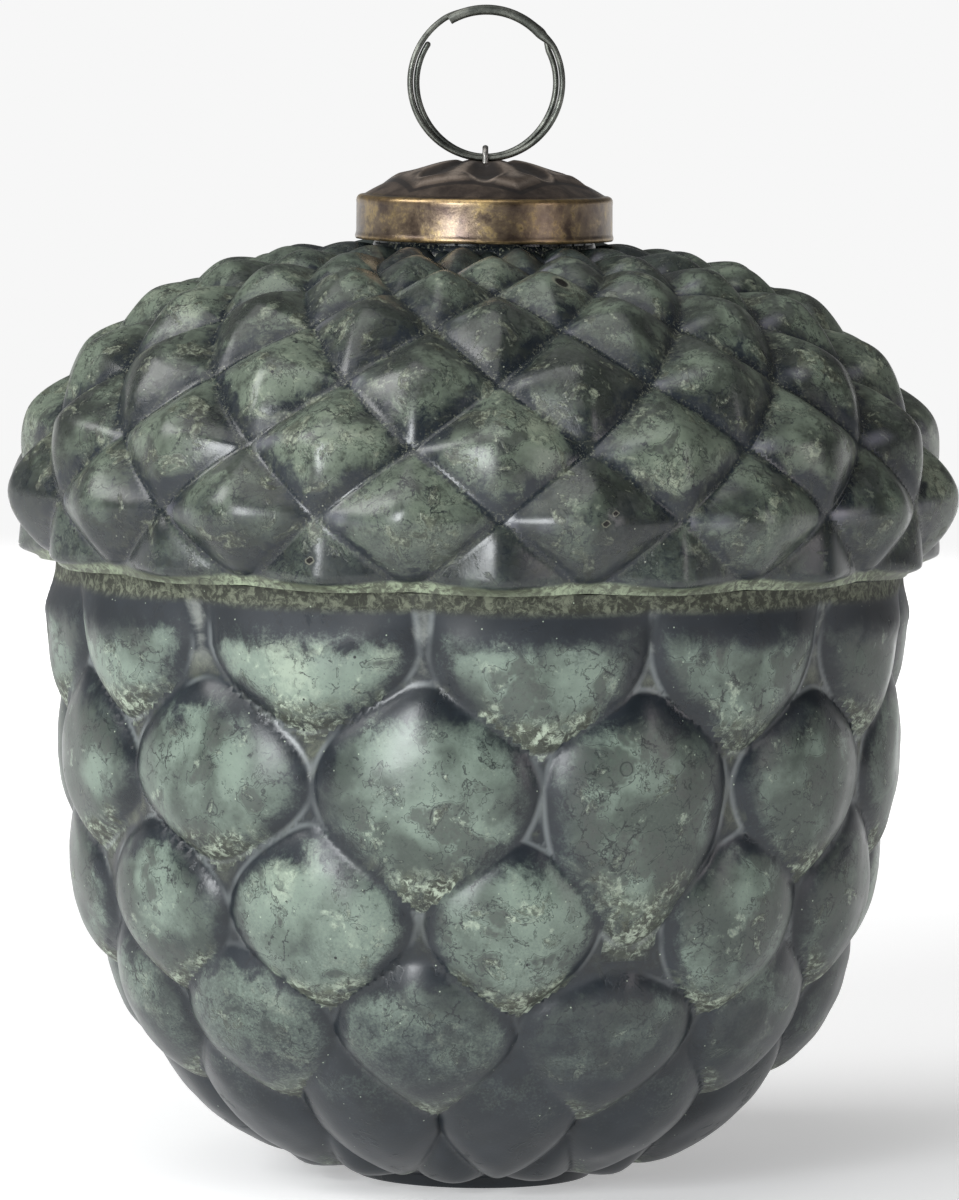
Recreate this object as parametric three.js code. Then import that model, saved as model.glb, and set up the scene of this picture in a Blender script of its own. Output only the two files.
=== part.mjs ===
// Pinecone-shaped lidded jar of mould-blown satin glass. A scaled dome lid lifts off an open jar,
// and carries a stamped metal cap with a wire eye and a split ring.
// Millimetres, +Z up, front towards -Y. The origin is the middle of the foot, on the surface it stands on.
import * as THREE from 'three';

// Jar
const jarRadius = 64.9;        // valley radius of the wall, at its widest lobe row
const jarHeight = 97.4;        // foot to the shoulder that carries the lid
const footRadius = 19.0;
const footStep = 1.8;          // height of the small step round the foot
const footFlare = 0.4;         // how far that step leans outwards
const seamRadius = 67.2;       // outer edge of the jar's shoulder
const jarWall = 2.6;           // glass behind the valleys
const jarFloor = 4.0;
const collarRise = 4.2;        // upstanding collar inside the lid
const collarWall = 3.0;
const lobeCount = 12;
const lobeRows = 5;            // full rows above the half row at the foot
const lobeRelief = 3.6;
const lobePhase = -7.2;        // degrees from the front to a lobe of an even row
const coveFade = 0.3;          // smooth band under the shoulder, in lobe rows
const footFade = 0.4;          // the same over the foot

// Lid
const lidRadius = 70.8;        // valley radius at the first scale row
const lidRise = 49.2;          // rim to the top of the neck's foot
const lidOverhang = 0.7;       // how far the lid's rim stands out past the shoulder
const lidWall = 2.8;
const collarClearance = 0.9;   // room between the collar and the lid
const rimLand = 2.0;           // how far the lid's flat rim reaches inside its wall
const scaleCount = 16;
const scaleRows = 7;
const scaleRelief = 5.0;
const scalePhase = 2.5;        // degrees from the front to a valley crossing of an odd row
const topScaleSize = 0.52;     // relief of the scales at the top, as a share of the lower ones
const rimFade = 0.3;           // smooth band over the lid's rim, in scale rows
const rimRelief = 0.35;        // share of the relief that reaches the rim itself
const neckWall = 2.4;

// Cap
const capRadius = 20.4;
const capSkirt = 7.0;
const capSheet = 0.8;
const capCrown = 5.7;          // skirt's top to the crown's lip
const capLift = 1.3;           // skirt's lower edge above the lid's neck foot
const capBead = 0.15;
const capBeadRise = 1.0;
const capRound = 0.2;          // over the skirt's top edge
const capMargin = 1.0;         // flat roof inside, past the dimple and past the neck
const capRoom = 2.2;           // between the skirt and the lid's neck
const crownInset = 1.4;
const petalCount = 8;
const petalRelief = 0.6;
const leafCount = 6;
const leafPhase = 19;          // degrees from the front to a leaf's tip
const leafRelief = 0.42;
const leafShadow = 0.16;       // how far the dome sinks outside the leaves
const dimpleRadius = 5.0;
const dimpleDepth = 1.15;
const eyeHole = 2.35;

// Eye and ring
const eyeWire = 0.75;
const eyeWidth = 0.95;
const eyeInside = 1.22;        // clear half height over the ring's strands
const legSpread = 12.6;
const legDrop = 9.0;
const ringRadius = 12.5;       // outside
const ringWire = 0.95;
const ringBand = 1.97;         // both strands, seen from the front
const ringBandLow = 1.25;      // the same where the ring passes the eye
const ringStrandGap = 0.11;
const swingClearance = 0.22;    // under the strands as they turn in the eye
const ringFlat = 1.6;          // width of the flattened strand that covers the ring's top
const ringInset = 0.25;        // how far that strand stays inside the ring's outline
const ringStart = 145.6;       // degrees from +X to the inner strand's end
const ringCross = 35;          // where the strands change places
const ringEnd = 121.4;         // the flattened strand's end
const crossLength = 18;        // degrees over which they change places
const slideLength = 75;        // degrees over which the wire slides from back to front

const seatGap = 0.3;           // left between touching pieces
const neckRadius = capRadius - capSheet - capRoom;
const crownEdge = capRadius - crownInset;

const jarColumns = lobeCount * 6;
const lidColumns = scaleCount * 4;
const insideColumns = 24;
const lidInsideColumns = 32;
const capColumns = petalCount * 4;
const liningRings = 9;

// Valley profiles, as shares of a radius and a height, one station each half lobe row or scale row
const jarStations = [[footRadius + footFlare, footStep]].concat([
  [0.468, 0.068], [0.621, 0.136], [0.740, 0.214], [0.826, 0.298], [0.888, 0.386],
  [0.934, 0.480], [0.961, 0.585], [0.980, 0.693], [0.991, 0.801], [1.000, 0.904],
].map(([r, z]) => [r * jarRadius, z * jarHeight]), [[seamRadius, jarHeight]]);
const lidBottom = jarHeight + seatGap;
const lidRim = seamRadius + lidOverhang;
const lidMouth = lidRim - lidWall - rimLand;
const collarRadius = lidMouth - collarClearance;
const lidStations = [[lidRim, 0]].concat([
  [1.000, 0.221], [0.951, 0.425], [0.846, 0.614], [0.703, 0.770], [0.568, 0.868],
  [0.442, 0.923], [0.315, 0.955], [0.189, 0.974],
].map(([r, z]) => [r * lidRadius, z * lidRise])).map(([r, z]) => [r, z + lidBottom]);

const clamp = (x, low, high) => Math.min(Math.max(x, low), high);
const ease = (x) => { const t = clamp(x, 0, 1); return t * t * (3 - 2 * t); };
const softAbs = (x, soft) => Math.sqrt(x * x + soft * soft) - soft;
const lerp = THREE.MathUtils.lerp;
const radians = THREE.MathUtils.degToRad;

// Smooth curve through evenly spaced stations, with its outward normal
function along(stations, v) {
  const last = stations.length - 1;
  const i = clamp(Math.floor(v), 0, last - 1);
  const f = v - i;
  const at = (j, k) => {
    if (j < 0) return 2 * stations[0][k] - stations[1][k];
    if (j > last) return 2 * stations[last][k] - stations[last - 1][k];
    return stations[j][k];
  };
  const point = [];
  const slope = [];
  for (const k of [0, 1]) {
    const [a, b, c, d] = [at(i - 1, k), at(i, k), at(i + 1, k), at(i + 2, k)];
    const [q, s, t] = [c - a, 2 * a - 5 * b + 4 * c - d, 3 * b - a - 3 * c + d];
    point.push(b + 0.5 * (q * f + s * f * f + t * f * f * f));
    slope.push(0.5 * (q + 2 * s * f + 3 * t * f * f));
  }
  const length = Math.hypot(slope[0], slope[1]);
  return { r: point[0], z: point[1], nr: slope[1] / length, nz: -slope[0] / length };
}

// Angle 0 is the front, towards -Y, and grows towards +X
const polar = (radius, angle, z) => new THREE.Vector3(
  radius * Math.sin(angle), -radius * Math.cos(angle), z);

// Every ring of a piece starts at the same turn, in degrees, so that its columns follow the carving
const columnAngle = (j, columns, turn) => (j / columns) * 2 * Math.PI + radians(turn);

function ring(radius, z, columns, turn = 0) {
  const points = [];
  for (let j = 0; j < columns; j += 1) points.push(polar(radius, columnAngle(j, columns, turn), z));
  return points;
}

// Closed skin over a list of rings, from inside the foot outwards and up. Neighbouring rings have
// equal counts, or one is a multiple of the other. A ring of one point closes an end.
class Skin {
  constructor() { this.triangles = []; }

  face(a, b, c) { this.triangles.push(a, b, c); }

  join(low, high, middle) {
    const [n, m] = [low.length, high.length];
    const steps = Math.min(n, m) === 1 ? Math.max(n, m) : Math.min(n, m);
    const [perLow, perHigh] = [n / steps, m / steps];
    for (let j = 0; j < steps; j += 1) {
      if (perLow === 1 && perHigh === 1) this.quad(low, high, j, middle);
      else if (m === 1) this.face(low[j], low[(j + 1) % n], high[0]);
      else if (n === 1) this.face(low[0], high[(j + 1) % m], high[j]);
      else this.fan(low, high, j, perLow, perHigh);
    }
  }

  // The diagonal whose middle lies nearer to the true surface follows the valleys
  quad(low, high, j, middle) {
    const k = (j + 1) % low.length;
    const [a, b, c, d] = [low[j], low[k], high[k], high[j]];
    const centre = middle ? middle(j) : null;
    const off = (p, q) => (centre ? centre.distanceTo(p.clone().add(q).multiplyScalar(0.5)) : 0);
    if (off(a, c) <= off(b, d)) { this.face(a, b, c); this.face(a, c, d); }
    else { this.face(a, b, d); this.face(b, c, d); }
  }

  fan(low, high, j, perLow, perHigh) {
    const [n, m] = [low.length, high.length];
    const [a, b] = [low[(j * perLow) % n], low[((j + 1) * perLow) % n]];
    const [d, c] = [high[(j * perHigh) % m], high[((j + 1) * perHigh) % m]];
    const half = Math.floor(Math.max(perLow, perHigh) / 2);
    if (perHigh > 1) {
      const at = (i) => high[(j * perHigh + i) % m];
      for (let i = 0; i < half; i += 1) this.face(a, at(i + 1), at(i));
      this.face(a, b, at(half));
      for (let i = half; i < perHigh; i += 1) this.face(b, at(i + 1), at(i));
    } else {
      const at = (i) => low[(j * perLow + i) % n];
      for (let i = 0; i < half; i += 1) this.face(at(i), at(i + 1), d);
      this.face(at(half), c, d);
      for (let i = half; i < perLow; i += 1) this.face(at(i), at(i + 1), c);
    }
  }

  geometry() {
    const geometry = new THREE.BufferGeometry().setFromPoints(this.triangles);
    geometry.computeVertexNormals();
    return geometry;
  }
}

// Rings of a relief surface between two rows, joined by the diagonals that suit the carving
function relief(skin, surface, rows, columns, turn = 0) {
  const rings = rows.map((v) => {
    const points = [];
    for (let j = 0; j < columns; j += 1) points.push(surface(columnAngle(j, columns, turn), v));
    return points;
  });
  for (let i = 1; i < rings.length; i += 1) {
    const middle = (j) => surface(columnAngle(j + 0.5, columns, turn), (rows[i - 1] + rows[i]) / 2);
    skin.join(rings[i - 1], rings[i], middle);
  }
  return [rings[0], rings[rings.length - 1]];
}

const raised = (base, height, angle) => polar(
  base.r + base.nr * height, angle, base.z + base.nz * height);

const evenRows = (from, to, count) => Array.from({ length: count + 1 }, (_, i) => lerp(from, to, i / count));

// Lobes near the front differ a little, as from a hand-cut mould. Each is named by its row and place.
// Shift is a share of the lobe spacing, side is that of the outline, and the rest are factors.
const unevenLobes = {
  '5:-2': { shift: -0.12, width: 0.95, down: 0.84 },
  '5:-1': { shift: -0.04, width: 1.08, down: 0.81 },
  '5:0': { shift: 0.02, width: 1.05, down: 0.98 },
  '4:-2': { shift: -0.08, width: 1.1, up: 0.93, down: 0.87 },
  '4:-1': { shift: -0.07, width: 1.15, up: 0.96, down: 0.81 },
  '4:0': { width: 1.13, down: 1.21 },
  '4:1': { width: 0.95, up: 0.95, down: 1.58, side: 0.273 },
  '4:2': { shift: -0.01, width: 1.06, up: 0.88 },
  '3:-2': { up: 0.86 },
  '3:-1': { shift: -0.04, width: 1.05, up: 0.92, down: 1.02 },
  '3:0': { shift: -0.08, width: 0.92, up: 0.84, down: 1.06 },
  '3:1': { shift: 0.1, width: 0.9, up: 0.85, down: 1.15, side: 0.252 },
  '2:-1': { shift: -0.05, width: 1.1, up: 0.95 },
  '2:0': { shift: -0.03, width: 1.08, up: 0.9, down: 1.14 },
  '2:1': { width: 1.08, up: 0.78, down: 1.24, side: 0.252 },
};

// Outline of a lobe, in lobe spacings across and lobe rows up, and how far its fullness droops
const lobe = { halfWidth: 0.478, tip: 0.756, side: 0.178, roundness: 5, blunt: 0.18, droop: 0.22 };
const topReach = 3;            // the top row's lobes run on, straight-sided, to the shoulder
const lowSize = 1.08;          // the two lowest rows' lobes are larger and meet in creases
const pillow = { inner: 2.2, outer: 0.75 };

// A lobe is a pillow with a rounded hexagon for its outline, fullest below its middle
function lobeHeight(angle, v) {
  const turns = ((THREE.MathUtils.radToDeg(angle) - lobePhase) * lobeCount) / 360;
  let height = 0;
  for (let row = Math.floor(v) - 1; row <= Math.floor(v) + 2; row += 1) {
    if (row < 0 || row > lobeRows) continue;
    const spot = turns - (row % 2) / 2;
    for (const place of [Math.floor(spot), Math.floor(spot) + 1]) {
      const key = `${row}:${place - lobeCount * Math.round(place / lobeCount)}`;
      const { shift = 0, width = 1, up = 1, down = 1, side = lobe.side } = unevenLobes[key] ?? {};
      const size = row < 2 ? lowSize : 1;
      const across = Math.abs(spot - place - shift) / (lobe.halfWidth * width * size);
      const half = v < row ? down : up * (row === lobeRows ? topReach : 1);
      const rise = (v - row) / (lobe.tip * half * size);
      const slant = Math.abs(rise) + (1 - side / lobe.tip) * softAbs(across, lobe.blunt);
      const edge = (across ** lobe.roundness + slant ** lobe.roundness) ** (1 / lobe.roundness);
      const full = Math.max(1 - edge ** pillow.inner, 0) ** pillow.outer;
      height = Math.max(height, lobeRelief * full * (1 - lobe.droop * rise));
    }
  }
  return height;
}

const jarTop = (jarStations.length - 1) / 2;
function jarSurface(angle, v) {
  const fade = ease((jarTop - v) / coveFade) * ease(v / footFade);
  return raised(along(jarStations, 2 * v), lobeHeight(angle, v) * fade, angle);
}

// Rounding of a scale's ridges and valleys, and how full its faces are
const scale = { blunt: 0.12, valley: 0.04, swell: 1.2, firstSmaller: 3.4 };

// A scale is a low four-sided pyramid between two sets of slanting valleys
function scaleHeight(angle, v) {
  const u = ((THREE.MathUtils.radToDeg(angle) - scalePhase) * scaleCount) / 360;
  const [p, q] = [u + (v - 1) / 2, u - (v - 1) / 2];
  const [a, b] = [p - Math.floor(p) - 0.5, q - Math.floor(q) - 0.5];
  const level = clamp(v - (a - b), 0, scaleRows + 1);
  const slope = 1 - softAbs(a + b, scale.blunt) - softAbs(a - b, scale.blunt);
  const inside = clamp((slope - scale.valley) / (1 - scale.valley), 0, 1);
  const upwards = ease((level - scale.firstSmaller) / (scaleRows + 1 - scale.firstSmaller));
  return scaleRelief * lerp(1, topScaleSize, upwards) * (1 - (1 - inside) ** scale.swell);
}

function lidSurface(angle, v) {
  const fade = lerp(rimRelief, 1, ease(v / rimFade));
  return raised(along(lidStations, v), scaleHeight(angle, v) * fade, angle);
}

// How far the insides stop short of the ends of the valley profiles, in stations
const jarInside = { top: 0.7, foot: 1.3 };
const lidInside = { top: 0.3, rim: 0.6 };

// Smooth inside of a wall, from one station of its profile down to another
const lining = (stations, wall, from, to, circle) => evenRows(from, to, liningRings).map((v) => {
  const base = along(stations, v);
  return circle(base.r - base.nr * wall, base.z - base.nz * wall);
});

function jar() {
  const skin = new Skin();
  const circle = (radius, z) => ring(radius, z, insideColumns, lobePhase);
  const rows = evenRows(0, jarTop, 4 * jarTop);
  const [foot, shoulder] = relief(skin, jarSurface, rows, jarColumns, lobePhase);
  const sole = circle(footRadius, 0);
  skin.join([new THREE.Vector3(0, 0, 0)], sole);
  skin.join(sole, foot);
  const collarTop = jarHeight + collarRise;
  const floor = footStep + jarFloor;
  const chain = [shoulder, circle(collarRadius, jarHeight), circle(collarRadius, collarTop),
    circle(collarRadius - collarWall, collarTop),
    ...lining(jarStations, jarWall, 2 * jarTop - jarInside.top, jarInside.foot, circle),
    circle(footRadius - jarWall, floor), [new THREE.Vector3(0, 0, floor)]];
  for (let i = 1; i < chain.length; i += 1) skin.join(chain[i - 1], chain[i]);
  return skin.geometry();
}

function lid() {
  const skin = new Skin();
  const rows = [0, rimFade / 2].concat(evenRows(0.5, scaleRows + 0.5, 2 * scaleRows));
  const circle = (radius, z) => ring(radius, z, lidInsideColumns, scalePhase);
  const [rim, top] = relief(skin, lidSurface, rows, lidColumns, scalePhase);
  const neckTop = crownInside(neckRadius) - seatGap;
  const chain = [top, circle(neckRadius, neckFoot), circle(neckRadius, neckTop),
    circle(neckRadius - neckWall, neckTop),
    ...lining(lidStations, lidWall, scaleRows + lidInside.top, lidInside.rim, circle),
    circle(lidMouth, lidBottom), rim];
  for (let i = 1; i < chain.length; i += 1) skin.join(chain[i - 1], chain[i]);
  return skin.geometry();
}

const neckFoot = lidBottom + lidRise;
const capBottom = neckFoot + capLift;
const capShoulder = capBottom + capSkirt;
const crownTop = capShoulder + capCrown;

// Share of the dimple's radius that is flat, and the power of the dome's curve
const crown = { flat: 0.62, curve: 1.55, step: 0.2 };
// Where the petals and leaves begin and end, as shares of the way from the axis to the dome's edge
const petals = { from: 0.2, full: 0.3, to: 0.6, scallop: 0.17, lip: 0.07 };
const leaves = { from: 0.45, full: 0.62, to: 0.9, scallop: 0.15, lip: 0.035 };

// Crown: dome with a lip round a shallow dimple, and a ring of petal hollows over a tier of leaves
function crownHeight(radius) {
  if (radius <= dimpleRadius) {
    return crownTop - dimpleDepth * (1 - ease((radius / dimpleRadius - crown.flat) / (1 - crown.flat)));
  }
  const t = Math.min((radius - dimpleRadius) / (crownEdge - dimpleRadius), 1);
  return capShoulder + crown.step + (capCrown - crown.step) * (1 - t ** crown.curve);
}

const crownInside = (radius) => crownHeight(radius) - petalRelief - capSheet;

// Full between the tier's inner edge and its own outer edge, which comes in between the tips
const tier = (share, { from, full, to, scallop, lip }, between) => (
  ease((share - from) / (full - from)) * (1 - ease((share - to + scallop * between) / lip + 1)));

function crownSurface(angle, radius) {
  const share = radius / crownEdge;
  const spoon = Math.abs(Math.sin((angle * petalCount) / 2));
  const point = Math.abs(Math.sin(((angle - radians(leafPhase)) * leafCount) / 2));
  const petal = tier(share, petals, spoon ** 2) * (1 - spoon ** 1.5);
  const leaf = tier(share, leaves, point ** 0.8);
  const sunk = leafShadow * (1 - leaf) * ease((share - petals.to) / leaves.scallop);
  return polar(radius, angle, crownHeight(radius) - petalRelief * petal + leafRelief * leaf - sunk);
}

function cap() {
  const skin = new Skin();
  const side = capRadius - capBead;
  const outside = [ring(capRadius, capBottom, capColumns), ring(side, capBottom + capBeadRise, capColumns),
    ring(side, capShoulder - capBeadRise, capColumns),
    ring(side - capRound, capShoulder - 1.5 * capRound, capColumns),
    ring(lerp(side, crownEdge, 0.6), capShoulder, capColumns)];
  const crownRadii = [...evenRows(crownEdge, dimpleRadius, 8), ...evenRows(dimpleRadius, eyeHole, 3).slice(1)];
  const tiers = crownRadii.map((radius) => Array.from({ length: capColumns }, (_, j) => (
    crownSurface(columnAngle(j, capColumns, 0), radius))));
  const coarse = capColumns / 2;
  const under = crownHeight(0) - capSheet;
  const roof = evenRows(dimpleRadius + capMargin, neckRadius + capMargin, 4).map(
    (radius) => ring(radius, crownInside(radius), coarse));
  const skirtInside = side - capSheet;
  const chain = [...outside, ...tiers, ring(eyeHole, under, coarse), ring(eyeHole + capSheet, under, coarse),
    ...roof, ring(skirtInside, capShoulder - capBeadRise - capSheet / 2, coarse),
    ring(skirtInside, capBottom, coarse)];
  for (let i = 1; i < chain.length; i += 1) skin.join(chain[i - 1], chain[i]);
  skin.join(chain[chain.length - 1], chain[0]);
  return skin.geometry();
}

// A wire swept along points in space, with an elliptical section square to the path
function wire(path, section, sides) {
  const skin = new Skin();
  const rings = path.map(({ centre, out, across, wide = 1 }) => {
    const points = [];
    for (let k = 0; k < sides; k += 1) {
      const angle = (2 * Math.PI * (k + 0.5)) / sides;
      points.push(centre.clone()
        .addScaledVector(out, ((wide * section[0]) / 2) * Math.cos(angle))
        .addScaledVector(across, (section[1] / 2) * Math.sin(angle)));
    }
    return points;
  });
  skin.join([path[0].centre], rings[0]);
  for (let i = 1; i < rings.length; i += 1) skin.join(rings[i - 1], rings[i]);
  skin.join(rings[rings.length - 1], [path[path.length - 1].centre]);
  return skin.geometry();
}

const dimpleFloor = crownTop - dimpleDepth;
const strandsReach = Math.hypot(ringWire + ringStrandGap / 2, ringBandLow / 2);
const pivotHeight = dimpleFloor + swingClearance + strandsReach;

// Split ring: nearly two turns. The first strand ends inside the second, behind it, and comes out where
// they cross. The last stretch is flattened, and lies in front of the others over the top.
function splitRing() {
  const outer = ringRadius - ringWire / 2;
  const centreHeight = pivotHeight + ringRadius - ringBandLow / 2;
  const side = (ringWire + ringStrandGap) / 2;
  const [swapOut, swapFlat] = [ringCross + 360, ringCross + 720];
  const slideFrom = ringEnd + 360 - slideLength / 10;
  const total = ringEnd + 720 - ringStart;
  const steps = Math.round(total / 11);
  const change = (t, middle) => ease((t - middle) / crossLength + 0.5);
  const path = [];
  for (let i = 0; i <= steps; i += 1) {
    const t = ringStart + (total * i) / steps;
    const angle = radians(t);
    const low = ((1 - Math.sin(angle)) / 2) ** 6;
    const inner = ringRadius - lerp(ringBand, ringBandLow, low) + ringWire / 2;
    const flat = change(t, swapFlat);
    const onTop = ringInset * ease((t - swapOut) / crossLength) * ease((swapOut + 90 - t) / crossLength);
    const round = lerp(inner, outer, change(t, swapOut)) - onTop;
    const radius = lerp(round, ringRadius - ringInset - ringFlat / 2, flat);
    const depth = lerp(side, -side, ease((t - slideFrom) / slideLength));
    const out = new THREE.Vector3(Math.cos(angle), 0, Math.sin(angle));
    const centre = out.clone().multiplyScalar(radius).add(new THREE.Vector3(0, depth, centreHeight));
    path.push({ centre, out, across: new THREE.Vector3(0, 1, 0), wide: lerp(1, ringFlat / ringWire, flat) });
  }
  return wire(path, [ringWire, ringWire], 8);
}

// Wire eye: a loop over the ring's strands, with two legs through the cap that spread inside the neck
function eye() {
  const loop = eyeInside + eyeWire / 2;
  const x = new THREE.Vector3(1, 0, 0);
  const legTop = dimpleFloor - 2 * capSheet;
  const leg = [[legSpread, legTop - legDrop], [lerp(loop, legSpread, 0.5), legTop - legDrop * 0.42],
    [loop + eyeWire, legTop], [loop, legTop + eyeWidth]];
  const bow = evenRows(0, Math.PI, 10).map(
    (angle) => [-loop * Math.cos(angle), pivotHeight + loop * Math.sin(angle)]);
  const spots = [...leg.map(([y, z]) => [-y, z]), ...bow, ...leg.reverse()];
  const path = spots.map(([y, z], i) => {
    const [before, after] = [spots[Math.max(i - 1, 0)], spots[Math.min(i + 1, spots.length - 1)]];
    const run = new THREE.Vector3(0, after[0] - before[0], after[1] - before[1]).normalize();
    const out = new THREE.Vector3().crossVectors(run, x);
    return { centre: new THREE.Vector3(0, y, z), out, across: x.clone().negate() };
  });
  return wire(path, [eyeWire, eyeWidth], 8);
}

const glass = (colour) => new THREE.MeshStandardMaterial({ color: colour, roughness: 0.42, metalness: 0 });
const metal = (colour, rough) => new THREE.MeshStandardMaterial(
  { color: colour, roughness: rough, metalness: 0.9 });

const lidJar = new THREE.Group();
function place(name, geometry, material) {
  const mesh = new THREE.Mesh(geometry, material);
  mesh.name = name;
  lidJar.add(mesh);
}

place('jar', jar(), glass(0x596763));
place('lid', lid(), glass(0x4f5b58));
place('cap', cap(), metal(0x6a5742, 0.42));
place('eye', eye(), metal(0x8d8a80, 0.5));
place('ring', splitRing(), metal(0x474a45, 0.45));

export default lidJar;
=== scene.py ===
"""Pinecone-shaped lidded glass jar: fine surfaces, materials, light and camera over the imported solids."""

import math

import bpy
import numpy as np
from mathutils import Matrix, Vector

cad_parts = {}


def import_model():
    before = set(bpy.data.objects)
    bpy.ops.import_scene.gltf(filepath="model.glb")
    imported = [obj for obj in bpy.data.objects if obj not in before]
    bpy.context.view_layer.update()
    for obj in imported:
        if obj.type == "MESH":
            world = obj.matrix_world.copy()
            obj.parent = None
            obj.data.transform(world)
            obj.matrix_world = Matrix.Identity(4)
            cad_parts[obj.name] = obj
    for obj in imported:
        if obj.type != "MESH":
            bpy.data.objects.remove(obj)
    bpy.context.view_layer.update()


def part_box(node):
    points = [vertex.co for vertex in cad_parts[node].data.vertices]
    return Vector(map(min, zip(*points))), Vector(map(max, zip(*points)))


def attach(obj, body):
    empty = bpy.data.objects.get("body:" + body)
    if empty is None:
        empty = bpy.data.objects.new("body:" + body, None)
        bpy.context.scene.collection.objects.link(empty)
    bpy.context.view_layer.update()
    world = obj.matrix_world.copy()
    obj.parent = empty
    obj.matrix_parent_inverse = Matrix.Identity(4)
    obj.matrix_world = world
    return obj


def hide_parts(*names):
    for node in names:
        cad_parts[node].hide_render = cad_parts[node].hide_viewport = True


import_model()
scene = bpy.context.scene
MM = 0.001


# Shared shapes, in millimetres, with the same names and formulas as the part's source

def ease(x, low=0.0, high=1.0):
    t = np.clip((x - low) / (high - low), 0, 1)
    return t * t * (3 - 2 * t)


def soft_abs(x, soft):
    return np.sqrt(x * x + soft * soft) - soft


def lerp(a, b, t):
    return a + (b - a) * t


def along(stations, v):
    """Smooth curve through evenly spaced (radius, height) stations, and its outward normal."""
    points = np.array(stations, float)
    points = np.vstack([2 * points[0] - points[1], points, 2 * points[-1] - points[-2]])
    i = np.clip(np.floor(v).astype(int), 0, len(points) - 4)
    f = (v - i)[..., None]
    a, b, c, d = (points[i + k] for k in range(4))
    q, s, t = c - a, 2 * a - 5 * b + 4 * c - d, 3 * b - a - 3 * c + d
    place = b + 0.5 * (q * f + s * f**2 + t * f**3)
    slope = 0.5 * (q + 2 * s * f + 3 * t * f**2)
    slope /= np.linalg.norm(slope, axis=-1, keepdims=True)
    return place[..., 0], place[..., 1], slope[..., 1], -slope[..., 0]


def polar(radius, angle, z):
    radius, angle, z = np.broadcast_arrays(radius, angle, z)
    return np.stack([radius * np.sin(angle), -radius * np.cos(angle), z], -1)


def wobble(points, size, seed, waves=10):
    """Smooth unevenness between -1 and 1, with features about as big as size."""
    rng = np.random.default_rng(seed)
    total = np.zeros(points.shape[:-1])
    for _ in range(waves):
        direction = rng.normal(size=3)
        direction *= 2 * np.pi / (size * rng.uniform(1.2, 3.2) * np.linalg.norm(direction))
        total += np.sin(points @ direction + rng.uniform(0, 2 * np.pi))
    return total / math.sqrt(waves)


JAR_RADIUS, JAR_HEIGHT, FOOT_RADIUS, FOOT_STEP, FOOT_FLARE = 64.9, 97.4, 19.0, 1.8, 0.4
SEAM_RADIUS, JAR_WALL, JAR_FLOOR, COLLAR_RISE, COLLAR_WALL = 67.2, 2.6, 4.0, 4.2, 3.0
LOBE_COUNT, LOBE_ROWS, LOBE_RELIEF, LOBE_PHASE, COVE_FADE, FOOT_FADE = 12, 5, 3.6, -7.2, 0.3, 0.4
LID_RADIUS, LID_RISE, LID_OVERHANG, LID_WALL = 70.8, 49.2, 0.7, 2.8
COLLAR_CLEARANCE, RIM_LAND, SCALE_COUNT, SCALE_ROWS = 0.9, 2.0, 16, 7
SCALE_RELIEF, SCALE_PHASE, TOP_SCALE, RIM_FADE, RIM_RELIEF = 5.0, 2.5, 0.52, 0.3, 0.35
CAP_RADIUS, CAP_SKIRT, CAP_SHEET, CAP_CROWN, CAP_LIFT = 20.4, 7.0, 0.8, 5.7, 1.3
CAP_BEAD, CAP_ROOM, CROWN_INSET = 0.15, 2.2, 1.4
PETAL_COUNT, PETAL_RELIEF, LEAF_COUNT, LEAF_PHASE, LEAF_RELIEF, LEAF_SHADOW = 8, 0.6, 6, 19, 0.42, 0.16
DIMPLE_RADIUS, DIMPLE_DEPTH, EYE_HOLE = 5.0, 1.15, 2.35
EYE_WIRE, EYE_WIDTH, EYE_INSIDE, LEG_SPREAD, LEG_DROP = 0.75, 0.95, 1.22, 12.6, 9.0
RING_RADIUS, RING_WIRE, RING_BAND, RING_BAND_LOW, STRAND_GAP = 12.5, 0.95, 1.97, 1.25, 0.11
RING_FLAT, RING_INSET, RING_START, RING_CROSS, RING_END = 1.6, 0.25, 145.6, 35, 121.4
SWING_CLEARANCE, CROSS_LENGTH, SLIDE_LENGTH = 0.22, 18, 75
SEAT_GAP, NECK_WALL = 0.3, 2.4

NECK_RADIUS = CAP_RADIUS - CAP_SHEET - CAP_ROOM
LID_BOTTOM = JAR_HEIGHT + SEAT_GAP
LID_RIM = SEAM_RADIUS + LID_OVERHANG
LID_MOUTH = LID_RIM - LID_WALL - RIM_LAND
COLLAR_RADIUS = LID_MOUTH - COLLAR_CLEARANCE
NECK_FOOT = LID_BOTTOM + LID_RISE
CAP_BOTTOM = NECK_FOOT + CAP_LIFT
CAP_SHOULDER = CAP_BOTTOM + CAP_SKIRT
CROWN_TOP = CAP_SHOULDER + CAP_CROWN
CROWN_EDGE = CAP_RADIUS - CROWN_INSET
DIMPLE_FLOOR = CROWN_TOP - DIMPLE_DEPTH
PIVOT = DIMPLE_FLOOR + SWING_CLEARANCE + math.hypot(RING_WIRE + STRAND_GAP / 2, RING_BAND_LOW / 2)

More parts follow.
